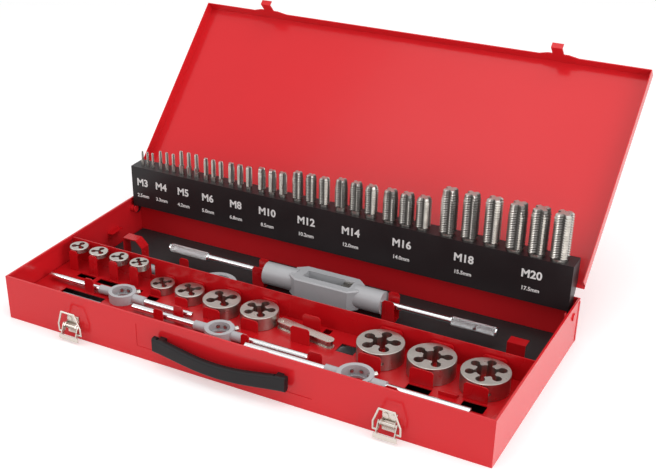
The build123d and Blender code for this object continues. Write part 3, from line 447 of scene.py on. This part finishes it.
# ------------------------------------------------------------ operators
class TAPCASE_OT_finishes(bpy.types.Operator):
    """Gives every solid of the case its paint or metal"""
    bl_idname = "tapcase.finishes"
    bl_label = "Paints and metals"

    def execute(self, context):
        c = context.scene.tapcase_finish
        red = finish_of("Gloss red enamel", c.case_red, shade(c.case_red, 0.86), (0.16, 0.24),
                        coat=0.08, specular=0.3, patch=9.0, grain=420.0, bump=0.000012)
        tray = finish_of("Tray enamel", c.tray_red, shade(c.tray_red, 0.8), (0.24, 0.32),
                         coat=0.06, specular=0.3, patch=16.0, grain=500.0, bump=0.000015)
        black = finish_of("Satin black paint", c.rack_black, (0.022, 0.017, 0.018, 1),
                          (0.34, 0.46), specular=0.3, patch=22.0, grain=800.0, bump=0.00002)
        mat = finish_of("Rubber mat", c.mat_black, (0.03, 0.028, 0.028, 1), (0.55, 0.7),
                        patch=40.0, grain=1500.0, bump=0.00006)
        grey = finish_of("Grey paint", c.holder_grey, shade(c.holder_grey, 0.8), (0.3, 0.42),
                         patch=60.0, grain=1300.0, bump=0.00004, coat=0.15)
        chrome = finish_of("Bright chrome", c.chrome, shade(c.chrome, 0.85), (0.1, 0.2),
                           metallic=1.0, patch=45.0, grain=1500.0, bump=0.000008)
        steel = finish_of("Ground tool steel", c.tool_steel, shade(c.tool_steel, 0.62),
                          (0.26, 0.4), metallic=1.0, patch=120.0, grain=2400.0, bump=0.00003,
                          drift_amount=0.9)
        # painted shade for the tap flutes; fetched by its name when the taps are made
        finish_of("Dark flutes", c.flute_shade, shade(c.flute_shade, 0.6), (0.3, 0.4),
                  metallic=0.6, patch=120.0, grain=2400.0, bump=0.00002)
        nickel = finish_of("Nickel plate", c.nickel, shade(c.nickel, 0.8), (0.2, 0.32),
                           metallic=1.0, patch=80.0, grain=1500.0, bump=0.00001)
        grip = finish_of("Soft grip", c.grip_black, (0.014, 0.012, 0.013, 1), (0.42, 0.56),
                         specular=0.25, patch=60.0, grain=1800.0, bump=0.00006)
        lo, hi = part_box("wrench_fixed_handle")
        fixed = finish_of("Chrome rod, knurled left", c.chrome, shade(c.chrome, 0.8),
                          (0.14, 0.24), metallic=1.0)
        knurled(fixed, (lo[1] + hi[1]) / 2, (lo[2] + hi[2]) / 2,
                lo[0] + KNURL_START * MM, lo[0] + KNURL_END_LEFT * MM)
        lo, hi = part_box("wrench_turning_handle")
        turning = finish_of("Chrome rod, knurled right", c.chrome, shade(c.chrome, 0.8),
                            (0.14, 0.24), metallic=1.0)
        knurled(turning, (lo[1] + hi[1]) / 2, (lo[2] + hi[2]) / 2,
                hi[0] - KNURL_END_RIGHT * MM, hi[0] - KNURL_START * MM)
        table = {
            "base_case": red, "lid": red, "hinge_pin": steel,
            "tap_rack": black, "rack_shelf": black, "rack_rivets": red,
            "tray_deck": tray, "tray_partition": tray, "tray_skirt": tray, "tray_tabs": tray,
            "die_posts": tray, "floor_mats": mat, "wrench_saddles": tray, "rear_brackets": tray,
            "holder_screws": steel, "wrench_body": grey, "wrench_jaw": steel,
            "wrench_fixed_handle": fixed, "wrench_turning_handle": turning,
            "gauge_case": nickel, "gauge_leaves": steel,
            "latch_plates": nickel, "front_rivets": nickel,
            "latch_lever_left": nickel, "latch_lever_right": nickel,
            "latch_bail_left": nickel, "latch_bail_right": nickel,
            "handle_grip": grip, "handle_brackets": black,
        }
        for key in SIZES:
            table["die_" + key] = steel
            table["taps_" + key] = steel
        for key in ("1", "2", "3"):
            table["holder_" + key + "_ring"] = grey
            table["holder_" + key + "_rods"] = chrome
        for key in ("4", "5", "6"):
            table["holder_" + key] = grey
        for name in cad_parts:
            coat_node(name, table[name])
        return {"FINISHED"}


class TAPCASE_OT_taps(bpy.types.Operator):
    """Builds the threaded, fluted taps of every size"""
    bl_idname = "tapcase.taps"
    bl_label = "Taps"

    def execute(self, context):
        sizes = context.scene.tapcase_sizes
        # the second material is painted shade for the flutes
        steel = (bpy.data.materials["Ground tool steel"], bpy.data.materials["Dark flutes"])
        for key in SIZES:
            row = TAP_TABLE[key]
            lo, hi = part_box("taps_" + key)
            wide = max(row[0], row[2]) * MM
            pitch = (hi[0] - lo[0] - wide) / 2
            y = (lo[1] + hi[1]) / 2
            bm = bmesh.new()
            for i, lead in enumerate(LEADS):
                x = lo[0] + wide / 2 + i * pitch
                tap_mesh(bm, x, y, lo[2], hi[2], row, sizes, lead)
            o = piece("threaded_taps_" + key, bm, steel, "rack", 25.0)
            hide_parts("taps_" + key)
        return {"FINISHED"}


class TAPCASE_OT_prints(bpy.types.Operator):
    """Prints the thread sizes and drill diameters on the rack"""
    bl_idname = "tapcase.prints"
    bl_label = "Printed sizes"

    def execute(self, context):
        sizes = context.scene.tapcase_sizes
        white = finish_of("White print", context.scene.tapcase_finish.print_white,
                          (0.6, 0.59, 0.58, 1), (0.5, 0.6), patch=300.0, grain=2500.0,
                          bump=0.00001)
        lo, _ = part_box("tap_rack")
        front = lo[1] - sizes.print_thickness / 2
        bm = bmesh.new()
        for key, drill, x in zip(SIZES, DRILLS, LABEL_X):
            rows = ((key.upper(), sizes.size_height, SIZE_ROW_Z),
                    (drill + "mm", sizes.drill_height, DRILL_ROW_Z))
            for words, size, z in rows:
                mesh = printed(words, size, x * MM, z, front, sizes.print_thickness)
                bm.from_mesh(mesh)
                bpy.data.meshes.remove(mesh)
        piece("rack_prints", bm, white, "rack")
        return {"FINISHED"}


def area_lamp(name, place, target, size, power):
    """A rectangular lamp that faces a target."""
    data = bpy.data.lights.new(name, "AREA")
    data.shape = "RECTANGLE"
    data.size, data.size_y = size
    data.energy = power
    o = bpy.data.objects.new(name, data)
    o.location = place
    o.rotation_euler = (Vector(target) - Vector(place)).to_track_quat("-Z", "Y").to_euler()
    bpy.context.collection.objects.link(o)


class TAPCASE_OT_stage(bpy.types.Operator):
    """Sets the pale floor, soft lamps, world and camera"""
    bl_idname = "tapcase.stage"
    bl_label = "Studio"

    def execute(self, context):
        studio = context.scene.tapcase_studio
        scene = context.scene
        bm = bmesh.new()
        bmesh.ops.create_grid(bm, x_segments=2, y_segments=2, size=6.0)
        mesh = bpy.data.meshes.new("studio_floor")
        bm.to_mesh(mesh)
        bm.free()
        floor = bpy.data.objects.new("studio_floor", mesh)
        scene.collection.objects.link(floor)
        mat = bpy.data.materials.new("Pale floor")
        mat.use_nodes = True
        t = mat.node_tree
        shader = t.nodes["Principled BSDF"]
        shader.inputs["Base Color"].default_value = studio.floor_colour
        shader.inputs["Roughness"].default_value = 0.9
        shader.inputs["Specular IOR Level"].default_value = 0.0
        path = node(t, "ShaderNodeLightPath")
        seen = maths(t, "MAXIMUM", path.outputs["Is Camera Ray"], path.outputs["Is Glossy Ray"])
        glow = node(t, "ShaderNodeEmission")
        glow.inputs["Color"].default_value = (1, 1, 1, 1)
        t.links.new(maths(t, "MULTIPLY", seen, FLOOR_GLOW), glow.inputs["Strength"])
        both = node(t, "ShaderNodeAddShader")
        t.links.new(shader.outputs[0], both.inputs[0])
        t.links.new(glow.outputs[0], both.inputs[1])
        t.links.new(both.outputs[0], t.nodes["Material Output"].inputs["Surface"])
        mesh.materials.append(mat)

        world = bpy.data.worlds.new("Studio light")
        scene.world = world
        world.use_nodes = True
        t = world.node_tree
        back = t.nodes["Background"]
        back.inputs["Color"].default_value = (1, 1, 1, 1)
        path = node(t, "ShaderNodeLightPath")
        seen = maths(t, "MAXIMUM", path.outputs["Is Camera Ray"], path.outputs["Is Glossy Ray"])
        level = maths(t, "ADD", maths(t, "MULTIPLY", seen, 1.0 - studio.world_level),
                      studio.world_level)
        t.links.new(level, back.inputs["Strength"])

        for name, place, aim, size, setting in SOFTBOXES:
            area_lamp(name, place, aim, size, getattr(studio, setting))

        yaw, pitch, roll = (math.radians(v) for v in CAMERA_ANGLES)
        ahead = Vector((-math.sin(yaw) * math.cos(pitch), math.cos(yaw) * math.cos(pitch),
                        -math.sin(pitch)))
        right = Vector((math.cos(yaw), math.sin(yaw), 0))
        up = right.cross(ahead)
        side = right * math.cos(roll) + up * math.sin(roll)
        top = side.cross(ahead)
        cam = bpy.data.cameras.new("Camera")
        cam.lens = studio.lens
        cam.sensor_width = 36.0
        cam.sensor_fit = "HORIZONTAL"
        cam.shift_x, cam.shift_y = CAMERA_SHIFT
        o = bpy.data.objects.new("Camera", cam)
        turn = Matrix((side, top, -ahead)).transposed().to_4x4()
        o.matrix_world = Matrix.Translation(CAMERA_PLACE) @ turn
        scene.collection.objects.link(o)
        scene.camera = o
        scene.view_settings.view_transform = "Standard"
        return {"FINISHED"}


STEPS = (TAPCASE_OT_finishes, TAPCASE_OT_taps, TAPCASE_OT_prints, TAPCASE_OT_stage)


class TAPCASE_PT_panel(bpy.types.Panel):
    """Lists the colours, sizes and building steps"""
    bl_label = "Tap and die case"
    bl_space_type = "VIEW_3D"
    bl_region_type = "UI"
    bl_category = "Tap Case"

    def draw(self, context):
        scene = context.scene
        for group in (scene.tapcase_finish, scene.tapcase_sizes, scene.tapcase_studio):
            for key in group.__annotations__:
                self.layout.prop(group, key)
        for step in STEPS:
            self.layout.operator(step.bl_idname)


CLASSES = (TapCaseFinish, TapCaseSizes, TapCaseStudio) + STEPS + (TAPCASE_PT_panel,)


def register():
    for c in CLASSES:
        bpy.utils.register_class(c)
    bpy.types.Scene.tapcase_finish = PointerProperty(type=TapCaseFinish)
    bpy.types.Scene.tapcase_sizes = PointerProperty(type=TapCaseSizes)
    bpy.types.Scene.tapcase_studio = PointerProperty(type=TapCaseStudio)


def unregister():
    del bpy.types.Scene.tapcase_studio
    del bpy.types.Scene.tapcase_sizes
    del bpy.types.Scene.tapcase_finish
    for c in reversed(CLASSES):
        bpy.utils.unregister_class(c)


def main():
    register()
    bpy.ops.tapcase.finishes()
    bpy.ops.tapcase.taps()
    bpy.ops.tapcase.prints()
    bpy.ops.tapcase.stage()


if __name__ == "__main__":
    main()
